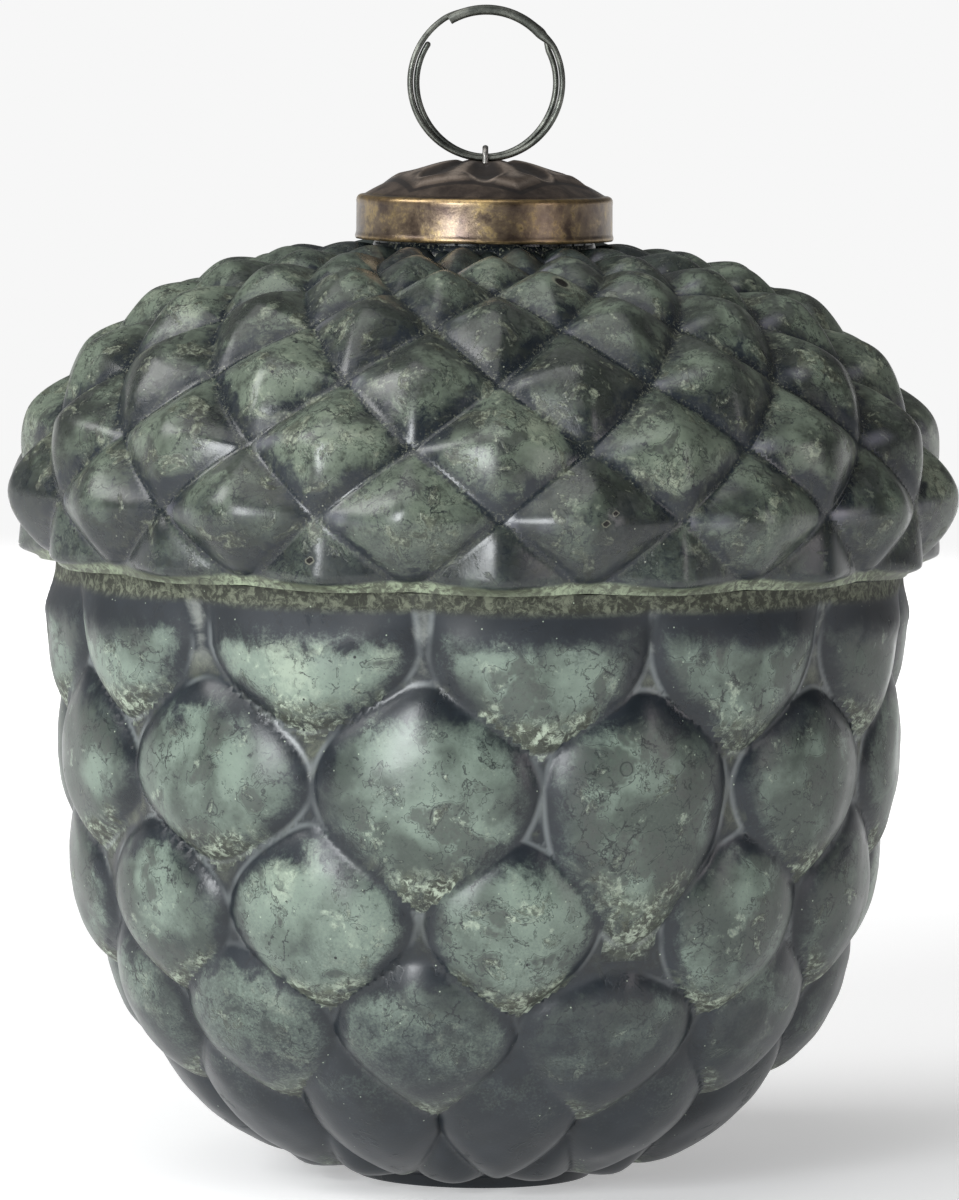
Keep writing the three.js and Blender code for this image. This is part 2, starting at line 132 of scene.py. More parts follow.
JAR_STATIONS = [(FOOT_RADIUS + FOOT_FLARE, FOOT_STEP)] + [(r * JAR_RADIUS, z * JAR_HEIGHT) for r, z in (
    (0.468, 0.068), (0.621, 0.136), (0.740, 0.214), (0.826, 0.298), (0.888, 0.386),
    (0.934, 0.480), (0.961, 0.585), (0.980, 0.693), (0.991, 0.801), (1.000, 0.904))]
JAR_STATIONS.append((SEAM_RADIUS, JAR_HEIGHT))
JAR_TOP = (len(JAR_STATIONS) - 1) / 2
LID_STATIONS = [(LID_RIM, LID_BOTTOM)] + [(r * LID_RADIUS, z * LID_RISE + LID_BOTTOM) for r, z in (
    (1.000, 0.221), (0.951, 0.425), (0.846, 0.614), (0.703, 0.770), (0.568, 0.868),
    (0.442, 0.923), (0.315, 0.955), (0.189, 0.974))]

# Lobes near the front differ a little, by row and place. shift is a share of the lobe spacing, side replaces
# the usual sides, width, up and down are factors, and tone runs from dark, -1, to pale, 1.
UNEVEN = {
    (5, -2): dict(shift=-0.12, width=0.95, down=0.84, tone=-0.1),
    (5, -1): dict(shift=-0.04, width=1.08, down=0.81, tone=1.2),
    (5, 0): dict(shift=0.02, width=1.05, down=0.98, tone=-0.3),
    (5, 1): dict(tone=-0.1),
    (5, 2): dict(tone=-0.7),
    (4, -3): dict(tone=-0.7),
    (4, -2): dict(shift=-0.08, width=1.1, up=0.93, down=0.87, tone=-0.8),
    (4, -1): dict(shift=-0.07, width=1.15, up=0.96, down=0.81, tone=0.1),
    (4, 0): dict(width=1.13, down=1.21, tone=0.0),
    (4, 1): dict(width=0.95, up=0.95, down=1.58, side=0.273, tone=-0.6),
    (4, 2): dict(shift=-0.01, width=1.06, up=0.88, tone=-0.8),
    (3, -3): dict(tone=-0.7),
    (3, -2): dict(up=0.86, tone=-0.4),
    (3, -1): dict(shift=-0.04, width=1.05, up=0.92, down=1.02, tone=0.2),
    (3, 0): dict(shift=-0.08, width=0.92, up=0.84, down=1.06, tone=0.0),
    (3, 1): dict(shift=0.1, width=0.9, up=0.85, down=1.15, side=0.252, tone=-0.5),
    (3, 2): dict(tone=-0.8),
    (2, -2): dict(tone=0.4),
    (2, -1): dict(shift=-0.05, width=1.1, up=0.95, tone=0.5),
    (2, 0): dict(shift=-0.03, width=1.08, up=0.9, down=1.14, tone=0.3),
    (2, 1): dict(width=1.08, up=0.78, down=1.24, side=0.252, tone=-0.7),
    (2, 2): dict(tone=-0.9),
}


def lobes(angle, v):
    """Height of the lobes. For the finish: outline, 1 at the edge, lift, place up the lobe, and own tone."""
    half, tip, sides, roundness, blunt, droop = 0.478, 0.756, 0.178, 5, 0.18, 0.22
    top_reach, low_size = 3, 1.08
    turns = (np.degrees(angle) - LOBE_PHASE) * LOBE_COUNT / 360
    rng = np.random.default_rng(7)
    height = np.zeros(np.broadcast(angle, v).shape)
    outline, lift, tone = np.full(height.shape, 9.0), np.zeros(height.shape), np.zeros(height.shape)
    for row in range(LOBE_ROWS + 1):
        for place in range(-LOBE_COUNT // 2, LOBE_COUNT // 2):
            own = UNEVEN.get((row, place), {})
            shade = own.get("tone", rng.uniform(-1, 1))
            size = low_size if row < 2 else 1
            offset = turns - (row % 2) / 2 - place - own.get("shift", 0)
            across = np.abs((offset + LOBE_COUNT / 2) % LOBE_COUNT - LOBE_COUNT / 2)
            across = across / (half * own.get("width", 1) * size)
            up = own.get("up", 1) * (top_reach if row == LOBE_ROWS else 1)
            rise = (v - row) / (tip * size * np.where(v < row, own.get("down", 1), up))
            slant = np.abs(rise) + (1 - own.get("side", sides) / tip) * soft_abs(across, blunt)
            edge = (across**roundness + slant**roundness) ** (1 / roundness)
            full = np.maximum(1 - edge**2.2, 0) ** 0.75
            height = np.maximum(height, LOBE_RELIEF * full * (1 - droop * rise))
            nearer = edge < outline
            outline = np.where(nearer, edge, outline)
            lift = np.where(nearer, rise + 0 * across, lift)
            tone = np.where(nearer, shade * ease(1 - edge, 0, 0.25), tone)
    return height, outline, lift, tone


def scales(angle, v):
    """Height of the scales. For the finish: inside, 0 at the edge, place across and up, and own tone."""
    u = (np.degrees(angle) - SCALE_PHASE) * SCALE_COUNT / 360
    p, q = u + (v - 1) / 2, u - (v - 1) / 2
    a, b = p - np.floor(p) - 0.5, q - np.floor(q) - 0.5
    level = np.clip(v - (a - b), 0, SCALE_ROWS + 1)
    upwards = ease(level, 3.4, SCALE_ROWS + 1)
    blunt = lerp(0.10, 0.18, upwards)
    slope = 1 - soft_abs(a + b, blunt) - soft_abs(a - b, blunt)
    inside = np.clip((slope - 0.04) / 0.96, 0, 1)
    column, row = np.floor(p) % SCALE_COUNT, np.floor(q) % SCALE_COUNT
    own = np.sin(12.9898 * column + 78.233 * row) * 43758.5453
    own = (own - np.floor(own)) * 2 - 1
    within = ease(inside, 0, 0.2)
    values = {"inside": inside, "across": (a + b) * within, "up": (a - b) * within, "tone": own * within}
    return SCALE_RELIEF * lerp(1, TOP_SCALE, upwards) * (1 - (1 - inside) ** 1.2), values


# Here the surfaces differ from the part's source: the lobes fade further below the shoulder, the round wire
# keeps inside the box of the faceted one, and the finer crown stays clear of the ring
VISUAL_COVE, RING_TRIM, CROWN_TRIM = COVE_FADE + 0.12, 0.07, 0.15

# Pits and burst bubbles in the lid: angle in degrees, place v up the lid, and radius in millimetres. They
# are wider than high, and FLAW_DEPTH millimetres deep.
LID_FLAWS = ((16.0, 4.91, 1.0), (14.4, 1.02, 0.45), (15.9, 1.10, 0.4), (-20.8, 0.50, 0.5), (118, 2.2, 0.8),
             (-140, 3.1, 0.9), (63, 1.4, 0.6))
FLAW_SQUEEZE, FLAW_DEPTH = 0.7, 0.35

# Points round and up the surfaces, and along and round the wires
JAR_COLUMNS, JAR_ROWS, SCALE_COLUMNS, SCALE_STEPS, RIM_STEPS, LINING_STEPS = 600, 122, 36, 18, 14, 12
CAP_COLUMNS, CROWN_STEPS, DIMPLE_STEPS, RING_STEPS, RING_SIDES, EYE_SIDES = 288, 64, 18, 620, 20, 16


# Mesh building

def skin(name, rings, values=None, sharp=40):
    """A skin over closed rings of equal counts, in millimetres, with flat faces on the first and the last.

    values are named point attributes. Where the first and last ring are the same, the two flat faces lie on
    each other across the mouth: the lid's inside the closed jar, the cap's just above its skirt's bottom edge.
    """
    rings = np.array(rings, float)
    rows, columns = rings.shape[:2]
    mesh = bpy.data.meshes.new(name)
    index = np.arange(rows * columns).reshape(rows, columns)
    right = np.roll(index, -1, axis=1)
    faces = np.stack([index[:-1], right[:-1], right[1:], index[1:]], -1).reshape(-1, 4)
    ends = [index[0][::-1], index[-1]]
    corners = np.concatenate([faces.ravel()] + ends)
    starts = np.concatenate([np.arange(len(faces)) * 4, [len(faces) * 4, len(faces) * 4 + columns]])
    mesh.vertices.add(rows * columns)
    mesh.vertices.foreach_set("co", (rings * MM).ravel())
    mesh.loops.add(len(corners))
    mesh.loops.foreach_set("vertex_index", corners)
    mesh.polygons.add(len(faces) + 2)
    mesh.polygons.foreach_set("loop_start", starts)
    mesh.update(calc_edges=True)
    mesh.validate()
    mesh.polygons.foreach_set("use_smooth", np.ones(len(mesh.polygons), bool))
    mesh.set_sharp_from_angle(angle=math.radians(sharp))
    for key, value in (values or {}).items():
        data = mesh.attributes.new(key, "FLOAT", "POINT").data
        data.foreach_set("value", np.asarray(value, float).ravel())
    obj = bpy.data.objects.new(name, mesh)
    scene.collection.objects.link(obj)
    return obj


def piece(obj, node, body, material):
    obj.data.materials.append(material)
    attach(obj, body)
    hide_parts(node)


def columns(count, turn=0.0):
    return np.linspace(0, 2 * np.pi, count, endpoint=False) + math.radians(turn)


def lining(stations, wall, start, stop):
    """The smooth inside of a wall, as (radius, height) places from start to stop along its stations."""
    r, z, nr, nz = along(stations, np.linspace(start, stop, LINING_STEPS + 1))
    return [(a - c * wall, b - d * wall) for a, b, c, d in zip(r, z, nr, nz)]


def plain(values, rings):
    """Extends the finish values of a carved surface over the plain rings before and after it."""
    before, after = rings
    return {key: np.vstack([np.repeat(v[:1], before, 0), v, np.repeat(v[-1:], after, 0)])
            for key, v in values.items()}


def make_jar():
    angle = columns(JAR_COLUMNS, LOBE_PHASE)
    v = np.linspace(0, JAR_TOP, JAR_ROWS)[:, None]
    height, outline, lift, tone = lobes(angle[None], v)
    r, z, nr, nz = along(JAR_STATIONS, 2 * v)
    fade = ease(JAR_TOP - v, 0, VISUAL_COVE) * ease(v, 0, FOOT_FADE)
    base = polar(r, angle[None], z)
    inside = ease(1 - outline, 0.05, 0.5)
    height = height * fade + fade * inside * (0.16 * wobble(base, 9, 3) + 0.05 * wobble(base, 3, 4))
    outside = polar(r + nr * height, angle[None], z + nz * height)
    floor = FOOT_STEP + JAR_FLOOR
    top = JAR_HEIGHT + COLLAR_RISE
    chain = [(COLLAR_RADIUS, JAR_HEIGHT), (COLLAR_RADIUS, top - 0.5), (COLLAR_RADIUS - 0.5, top),
             (COLLAR_RADIUS - COLLAR_WALL + 0.5, top), (COLLAR_RADIUS - COLLAR_WALL, top - 0.5)]
    chain += lining(JAR_STATIONS, JAR_WALL, 2 * JAR_TOP - 0.7, 1.3)
    chain += [(FOOT_RADIUS - JAR_WALL, floor), (10, floor)]
    rings = [polar(FOOT_RADIUS - 0.3, angle, 0.0), polar(FOOT_RADIUS, angle, 0.3), *outside]
    rings += [polar(radius, angle, level) for radius, level in chain]
    values = {"outline": outline, "lift": lift, "tone": tone, "level": np.broadcast_to(v, height.shape)}
    return skin("glass_jar", rings, plain(values, (2, len(chain))))


def flaw_distance(points, angle, v):
    """Distance from each point to the nearest flaw of the glass, with the flaw's own radius as the unit."""
    spots = []
    for degrees, place, _ in LID_FLAWS:
        turn = (angle - math.radians(degrees) + np.pi) % (2 * np.pi) - np.pi
        spots.append(points[np.abs(v - place).argmin(), np.abs(turn).argmin()])
    sizes = np.array([size for _, _, size in LID_FLAWS])
    away = (points[..., None, :] - np.array(spots)) / sizes[:, None]
    away[..., 0] *= FLAW_SQUEEZE
    return np.minimum(np.linalg.norm(away, axis=-1).min(-1), 9)


def make_lid():
    angle = columns(SCALE_COUNT * SCALE_COLUMNS, SCALE_PHASE)
    rim_rows = np.linspace(0, 0.5, RIM_STEPS)[:-1]
    scale_rows = np.linspace(0.5, SCALE_ROWS + 0.5, SCALE_ROWS * SCALE_STEPS + 1)
    v = np.concatenate([rim_rows, scale_rows])[:, None]
    height, values = scales(angle[None], v)
    r, z, nr, nz = along(LID_STATIONS, v + 0 * height[:, :1])
    fade = lerp(RIM_RELIEF, 1, ease(v, 0, RIM_FADE))
    base = polar(r, angle[None], z)
    uneven = 0.10 * wobble(base, 6, 5) + 0.05 * wobble(base, 2.5, 6)
    height = height * fade + fade * values["inside"] * uneven
    values["flaw"] = flaw_distance(polar(r + nr * height, angle[None], z + nz * height), angle, v[:, 0])
    height = height - FLAW_DEPTH * np.exp(-values["flaw"] ** 2)
    outside = polar(r + nr * height, angle[None], z + nz * height)
    low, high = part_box("lid")
    outside = np.clip(outside, np.array(low) / MM, np.array(high) / MM)
    neck_top = crown_inside(NECK_RADIUS) - SEAT_GAP
    chain = [(NECK_RADIUS, NECK_FOOT), (NECK_RADIUS, neck_top), (NECK_RADIUS - NECK_WALL, neck_top)]
    chain += lining(LID_STATIONS, LID_WALL, SCALE_ROWS + 0.3, 0.6)
    chain += [(LID_MOUTH, LID_BOTTOM)]
    rings = [*outside] + [polar(radius, angle, level) for radius, level in chain]
    rings.append(outside[0])
    values = plain(values | {"level": np.broadcast_to(v, height.shape)}, (0, len(chain) + 1))
    values["inside"][len(outside):] = 0
    return skin("glass_lid", rings, values)


def crown_height(radius):
    radius = np.asarray(radius, float)
    dimple = CROWN_TOP - DIMPLE_DEPTH * (1 - ease(radius / DIMPLE_RADIUS, 0.62, 1))
    t = np.clip((radius - DIMPLE_RADIUS) / (CROWN_EDGE - DIMPLE_RADIUS), 0, 1)
    dome = CAP_SHOULDER + 0.2 + (CAP_CROWN - 0.2) * (1 - t**1.55)
    return np.where(radius <= DIMPLE_RADIUS, dimple, dome)


def crown_inside(radius):
    return float(crown_height(radius)) - PETAL_RELIEF - CAP_SHEET


def make_cap():
    """Stamped sheet: petals pressed in round the dimple, raised leaves further out, and a beaded skirt."""
    angle = columns(CAP_COLUMNS)
    radius = np.concatenate([np.linspace(CROWN_EDGE, DIMPLE_RADIUS, CROWN_STEPS),
                             np.linspace(DIMPLE_RADIUS, EYE_HOLE, DIMPLE_STEPS)[1:]])[:, None]
    share = radius / CROWN_EDGE
    spoon = np.abs(np.sin(angle[None] * PETAL_COUNT / 2))
    reach = 0.76 - 0.20 * spoon**2
    petal = (1 - spoon**1.5) * ease(share, 0.2, 0.3) * (1 - ease(share, reach - 0.07, reach))
    rim = 0.90 - 0.15 * np.abs(np.sin((angle[None] - math.radians(LEAF_PHASE)) * LEAF_COUNT / 2)) ** 0.8
    leaf = ease(share, 0.58, 0.74) * (1 - ease(share, rim - 0.14, rim + 0.02))
    height = crown_height(radius) - PETAL_RELIEF * petal + LEAF_RELIEF * leaf
    height = height - LEAF_SHADOW * (1 - leaf) * ease(share, 0.6, 0.75)
    base = polar(radius, angle[None], height)
    height = height + 0.04 * wobble(base, 4, 8) - CROWN_TRIM * ease(1 - share, 0, 0.3)
    crown = polar(radius, angle[None], height)

    # The skirt from its bottom edge up, each place with its share of worn gold, which is partly a painted
    # highlight on the rounded edges. Its plain band is a little uneven.
    side, low, high = CAP_RADIUS - CAP_BEAD, CAP_BOTTOM, CAP_SHOULDER
    skirt = [
        (side - CAP_SHEET, low + 0.25, 0), (side - 0.3, low, 0.4), (CAP_RADIUS - 0.15, low + 0.05, 0.8),
        (CAP_RADIUS, low + 0.3, 0.9), (CAP_RADIUS, low + 0.6, 0.3), (CAP_RADIUS - 0.1, low + 0.9, 0),
        (side - 0.05, low + 1.3, 0), (side - 0.05, high - 1.4, 0), (side, high - 0.9, 0.15),
        (side - 0.05, high - 0.55, 0.6), (side - 0.25, high - 0.2, 1), (side - 0.6, high, 0.9),
        (lerp(side, CROWN_EDGE, 0.75), high + 0.05, 0.4)]
    outer = [polar(r, angle, z) for r, z, _ in skirt]
    for band in outer[6:9]:
        band[:, :2] *= (1 + 0.0016 * wobble(band, 7, 12))[:, None]
    under = float(crown_height(0)) - CAP_SHEET
    inner = [(EYE_HOLE, under), (EYE_HOLE + CAP_SHEET, under)]
    inner += [(r, crown_inside(r)) for r in np.linspace(DIMPLE_RADIUS + 1, NECK_RADIUS + 1, 8)]
    inner += [(side - CAP_SHEET, high - 1.4), (side - CAP_SHEET, low + 0.25)]
    rings = outer + [*crown] + [polar(r, angle, z) for r, z in inner]

    # For the finish: relief is low in grooves, where painted shade goes, crest is 1 on the worn edges of the
    # stamping
    groove = np.exp(-((share - rim - 0.02) / 0.022) ** 2)
    groove = groove + 0.7 * np.exp(-((share - reach - 0.03) / 0.02) ** 2)
    relief = np.broadcast_to(0.5 + 0.5 * leaf - 0.8 * petal - 0.9 * groove, height.shape)
    ridge = np.clip((spoon - 0.86) / 0.14, 0, 1) * ease(share, 0.26, 0.36) * (1 - ease(share, 0.62, 0.76))
    crest = np.exp(-((share - reach + 0.012) / 0.016) ** 2) * (1 - spoon**4)
    crest = np.clip(crest + 0.45 * np.exp(-((share - rim + 0.06) / 0.03) ** 2) + ridge, 0, 1)
    values = plain({"relief": relief, "crest": crest + 0 * height}, (len(outer), len(inner)))
    values["relief"][:len(outer)] = 0.5
    values["crest"][:len(outer)] = 0
    values["wear_and_glint"] = np.zeros((len(rings), len(angle)))
    values["wear_and_glint"][:len(outer)] = np.array([amount for _, _, amount in skirt])[:, None]
    return skin("cap_shell", rings, values)


def wire(name, centres, outs, across, thick, wide, sides, ends=(0.0, 0.0)):
    """A wire along centres. thick may vary along it. Its ends are rounded over the two lengths in ends."""
    centres = np.array(centres, float)
    thick = np.broadcast_to(thick, len(centres))
    turn = 2 * np.pi * (np.arange(sides) + 0.5) / sides
    run = np.concatenate([[0], np.cumsum(np.linalg.norm(np.diff(centres, axis=0), axis=1))])
    size = np.ones(len(centres))
    for distance, length in ((run, ends[0]), (run[-1] - run, ends[1])):
        if length:
            size *= np.sqrt(np.clip(1 - (1 - np.clip(distance / length, 0, 1)) ** 2, 0.002, 1))
    rings = [c + s * (h / 2 * np.cos(turn)[:, None] * o + wide / 2 * np.sin(turn)[:, None] * across)
             for c, s, h, o in zip(centres, size, thick, outs)]
    return skin(name, rings, sharp=60)


def make_ring():
    """Nearly two turns of wire: an inner strand that crosses to the outside and ends flat."""
    t = np.linspace(RING_START, RING_END + 720, RING_STEPS)
    t = np.concatenate([RING_START + np.linspace(0, 3, 9)[:-1], t[t > RING_START + 3]])
    angle = np.radians(t)
    swap_out, swap_flat = RING_CROSS + 360, RING_CROSS + 720
    slide_from = RING_END + 360 - SLIDE_LENGTH / 10
    outer = RING_RADIUS - RING_WIRE / 2
    side = (RING_WIRE + STRAND_GAP) / 2
    low = ((1 - np.sin(angle)) / 2) ** 6
    inner = RING_RADIUS - lerp(RING_BAND, RING_BAND_LOW, low) + RING_WIRE / 2
    flat = ease((t - swap_flat) / CROSS_LENGTH + 0.5)
    on_top = RING_INSET * ease((t - swap_out) / CROSS_LENGTH) * ease((swap_out + 90 - t) / CROSS_LENGTH)
    rounded = lerp(inner, outer, ease((t - swap_out) / CROSS_LENGTH + 0.5)) - on_top
    radius = lerp(rounded, RING_RADIUS - RING_INSET - RING_FLAT / 2, flat)
    radius = radius - RING_TRIM * (1 + np.sin(angle)) / 2
    depth = lerp(side, -side, ease((t - slide_from) / SLIDE_LENGTH))
    out = np.stack([np.cos(angle), 0 * angle, np.sin(angle)], -1)
    centres = out * radius[:, None] + np.stack(
        [0 * t, depth, 0 * t + PIVOT + RING_RADIUS - RING_BAND_LOW / 2], -1)
    thick = lerp(RING_WIRE, RING_FLAT, flat)
    return wire("split_ring", centres, out, np.array((0.0, 1.0, 0.0)), thick, RING_WIRE, RING_SIDES,
                ends=(0.5, 0.0))


def make_eye():
    loop = EYE_INSIDE + EYE_WIRE / 2
    leg_top = DIMPLE_FLOOR - 2 * CAP_SHEET
    leg = [(LEG_SPREAD, leg_top - LEG_DROP), (lerp(loop, LEG_SPREAD, 0.5), leg_top - LEG_DROP * 0.42),
           (loop + EYE_WIRE, leg_top), (loop, leg_top + EYE_WIDTH)]
    bow = [(-loop * math.cos(a), PIVOT + loop * math.sin(a)) for a in np.linspace(0, math.pi, 25)]
    spots = np.array([(-y, z) for y, z in leg] + bow + leg[::-1])
    centres = np.insert(spots, 0, 0.0, axis=1)
    run = np.gradient(centres, axis=0)
    run /= np.linalg.norm(run, axis=1, keepdims=True)
    return wire("wire_eye", centres, np.cross(run, (1.0, 0.0, 0.0)), np.array((-1.0, 0.0, 0.0)),
                EYE_WIRE, EYE_WIDTH, EYE_SIDES)


# Materials

class Finish:
    """A material's nodes, made by short calls. Every length in it is in millimetres."""

    def __init__(self, name, **shader):
        self.material = bpy.data.materials.new(name)
        self.material.use_nodes = True
        self.tree = self.material.node_tree
        self.shader = self.tree.nodes["Principled BSDF"]
        for key, value in shader.items():
            self.shader.inputs[key.replace("_", " ")].default_value = value
        place = self.node("ShaderNodeTexCoord").outputs["Object"]
        self.place = self.scaled(place, 1 / MM)

    def scaled(self, vector, scale):
        return self.node("ShaderNodeVectorMath", {0: vector, "Scale": scale}, operation="SCALE").outputs[0]

    def node(self, kind, inputs=None, **settings):
        node = self.tree.nodes.new(kind)
        for key, value in settings.items():
            setattr(node, key, value)
        for key, value in (inputs or {}).items():
            if isinstance(value, bpy.types.NodeSocket):
                self.tree.links.new(value, node.inputs[key])
            else:
                node.inputs[key].default_value = value
        return node

    def math(self, operation, a, b=0.0):
        return self.node("ShaderNodeMath", {0: a, 1: b}, operation=operation).outputs[0]

    def times(self, first, *others):
        for other in others:
            first = self.math("MULTIPLY", first, other)
        return first

    def plus(self, first, *others):
        for other in others:
            first = self.math("ADD", first, other)
        return first

    def most(self, first, *others):
        for other in others:
            first = self.math("MAXIMUM", first, other)
        return first

    def value(self, key):
        return self.node("ShaderNodeAttribute", attribute_name=key).outputs["Fac"]

    def step(self, x, low, high, start=0.0, stop=1.0):
        """Smooth step from start to stop as x goes from low to high."""
        inputs = {"Value": x, "From Min": low, "From Max": high, "To Min": start, "To Max": stop}
        return self.node("ShaderNodeMapRange", inputs, interpolation_type="SMOOTHSTEP").outputs[0]

    def band(self, x, middle, width):
        """1 where x is middle, down to 0 where it is width away."""
        return self.step(self.math("ABSOLUTE", self.math("SUBTRACT", x, middle)), 0, width, 1, 0)

    def noise(self, size, detail=3.0, roughness=0.55, distortion=0.0, output="Fac"):
        """Noise between about 0 and 1 with features of size millimetres."""
        inputs = {"Vector": self.place, "Scale": 1 / size, "Detail": detail, "Roughness": roughness,
                  "Distortion": distortion}
        return self.node("ShaderNodeTexNoise", inputs).outputs[output]

    def warped(self, size, amount):
        """The place, shifted here and there by a part of amount."""
        shift = self.scaled(self.noise(size, 4, 0.65, output="Color"), amount)
        return self.node("ShaderNodeVectorMath", {0: self.place, 1: shift}, operation="ADD").outputs[0]

    def cells(self, size, feature="F1", place=None):
        inputs = {"Vector": place or self.place, "Scale": 1 / size}
        return self.node("ShaderNodeTexVoronoi", inputs, feature=feature)

    def mix(self, share, a, b):
        """Goes from a to b as share goes from 0 to 1."""
        node = self.node("ShaderNodeMix", data_type="RGBA")
        for key, value in ((0, share), (6, a), (7, b)):
            if isinstance(value, bpy.types.NodeSocket):
                self.tree.links.new(value, node.inputs[key])
            else:
                node.inputs[key].default_value = value if key == 0 else (*value, 1.0)
        return node.outputs[2]

    def bump(self, height, depth, normal=None):
        """depth is in millimetres for a height of 1."""
        inputs = {"Height": height, "Distance": depth * MM, "Strength": 1.0}
        if normal:
            inputs["Normal"] = normal
        return self.node("ShaderNodeBump", inputs).outputs[0]

    def set(self, **links):
        for key, value in links.items():
            self.tree.links.new(value, self.shader.inputs[key.replace("_", " ")])
        return self.material


# Colours of the glass
DEEP, SLATE, HAZE = (0.009, 0.011, 0.013), (0.008, 0.012, 0.016), (0.013, 0.018, 0.024)
SMOKE, OLIVE = (0.052, 0.057, 0.052), (0.075, 0.084, 0.056)
CRUST, SOOT = (0.026, 0.028, 0.018), (0.024, 0.029, 0.023)
JAR_GREENS = ((0.052, 0.068, 0.056), (0.172, 0.224, 0.182), (0.42, 0.49, 0.38))
LID_GREENS = ((0.022, 0.027, 0.022), (0.125, 0.155, 0.116), (0.34, 0.38, 0.28))
GRAIN, SPECKS, DUST = (0.20, 0.22, 0.215), (0.33, 0.35, 0.28), (0.26, 0.27, 0.20)
CHANNEL_DARK, CHANNEL_LIGHT, CHANNEL_GLINT = (0.040, 0.046, 0.034), (0.098, 0.110, 0.076), (0.30, 0.32, 0.31)
FILLET_GLINT, COVE_OLIVE = (0.28, 0.31, 0.31), (0.15, 0.165, 0.115)
RIM_GREEN, LILAC_GLINT = (0.30, 0.36, 0.24), (0.17, 0.17, 0.20)
FLAW_GLINT, FLAW_PIT_SHADE = (0.20, 0.20, 0.15), (0.006, 0.005, 0.004)

# Colours of the metals
SKIRT_DARK, SKIRT_LIGHT, SKIRT_GOLD = (0.080, 0.056, 0.045), (0.235, 0.178, 0.118), (0.42, 0.31, 0.14)
DOME_DARK, DOME_LIGHT, GOLD_WEAR_AND_GLINT = (0.070, 0.055, 0.048), (0.165, 0.130, 0.105), (0.50, 0.345, 0.15)
GROOVE_SHADE, CREST = (0.040, 0.036, 0.036), (0.44, 0.37, 0.31)
SKIRT_STAIN, BRASS_STAIN = (0.060, 0.042, 0.038), (0.045, 0.034, 0.028)
EYE_GREYS = ((0.19, 0.185, 0.175), (0.32, 0.31, 0.29))
RING_GREYS = ((0.075, 0.080, 0.072), (0.17, 0.175, 0.155))


def crackle(f, colour, where):
    """Fine dark cracks that break off here and there."""
    net = f.cells(3.4, "DISTANCE_TO_EDGE", f.warped(2.2, 3.0)).outputs["Distance"]
    broken = f.step(f.noise(2.0, 3), 0.42, 0.56)
    return f.mix(f.times(f.step(net, 0.012, 0.055, 1, 0), broken, where), colour, DEEP)


def verdigris(f, shift, dark, crust, greens):
    """Mottled satin glass. shift makes it paler, dark and crust are the shares of slate and of crust. The
    callers also put painted shade into the slate share.
    """
    mid, light, pale = greens
    cloud, soft = f.noise(8.5, 4, 0.58, 0.3), f.noise(13, 2, 0.5, 0.2)
    stain = f.plus(f.noise(7.0, 4, 0.56, 0.25), f.times(shift, -0.8))
    speck, grain = f.noise(1.3, 4, 0.72, 0.6), f.noise(0.42, 2, 0.6)
    body = f.plus(f.times(cloud, 0.45), f.times(soft, 0.55), shift, f.times(f.plus(speck, -0.5), 0.09))
    colour = f.mix(f.step(body, 0.38, 0.58), mid, light)
    colour = f.mix(f.step(f.plus(body, f.times(speck, 0.22)), 0.68, 0.84, 0, 0.45), colour, pale)
    # Smoky stains with a thin dark outline, and pale blooms
    clouded = f.mix(f.step(speck, 0.32, 0.68), SMOKE, mid)
    colour = f.mix(f.step(stain, 0.54, 0.60, 0.0, 0.8), colour, clouded)
    colour = f.mix(f.times(f.band(stain, 0.542, 0.010), 0.8), colour, DEEP)
    bloom = f.step(f.plus(f.noise(6.0, 6, 0.68, 0.2), f.times(shift, 0.4)), 0.58, 0.66, 0, 0.6)
    colour = f.mix(bloom, colour, f.mix(f.step(speck, 0.38, 0.60), light, pale))
    colour = crackle(f, colour, f.step(f.plus(f.noise(9, 3), f.times(crust, 0.25)), 0.46, 0.60, 0, 0.9))
    # Flaky crust, fine grain, sprayed slate and small pinholes
    flakes = f.mix(f.step(f.noise(2.4, 5, 0.75), 0.42, 0.58), OLIVE, pale)
    colour = f.mix(f.times(crust, 0.9), colour, f.mix(f.step(speck, 0.42, 0.60), CRUST, flakes))
    colour = f.mix(f.step(grain, 0.40, 0.80, 0.0, 0.09), colour, GRAIN)
    sprayed = f.step(f.plus(dark, f.times(f.plus(grain, speck, -1.0), 0.45)), 0.08, 0.95)
    colour = f.mix(sprayed, colour, f.mix(f.step(cloud, 0.35, 0.68), SLATE, HAZE))
    colour = f.mix(f.step(f.noise(0.6, 2, 0.6), 0.60, 0.74, 0.0, 0.45), colour, DEEP)
    return colour, cloud, speck, grain


def scattered(f, size, channel, low, high):
    """Cells of that size: the distance to the middle of each, and 1 in the few that are picked."""
    cell = f.cells(size)
    draw = f.node("ShaderNodeSeparateColor", {0: cell.outputs["Color"]}).outputs[channel]
    return cell.outputs["Distance"], f.step(draw, low, high)


def drops(f, colour, pale):
    """Dried water drops: thin rings here and there, and small dark and pale specks."""
    away, picked = scattered(f, 13, 0, 0.66, 0.68)
    away = f.plus(away, f.times(f.noise(1.3, 2), 0.03))
    colour = f.mix(f.times(f.band(away, 0.115, 0.014), picked, 0.7), colour, DEEP)
    away, picked = scattered(f, 3.1, 1, 0.84, 0.86)
    colour = f.mix(f.times(f.step(away, 0.06, 0.10, 1, 0), picked), colour, DEEP)
    away, picked = scattered(f, 1.3, 2, 0.86, 0.90)
    return f.mix(f.times(f.step(away, 0.05, 0.13, 1, 0), picked, 0.7), colour, pale)


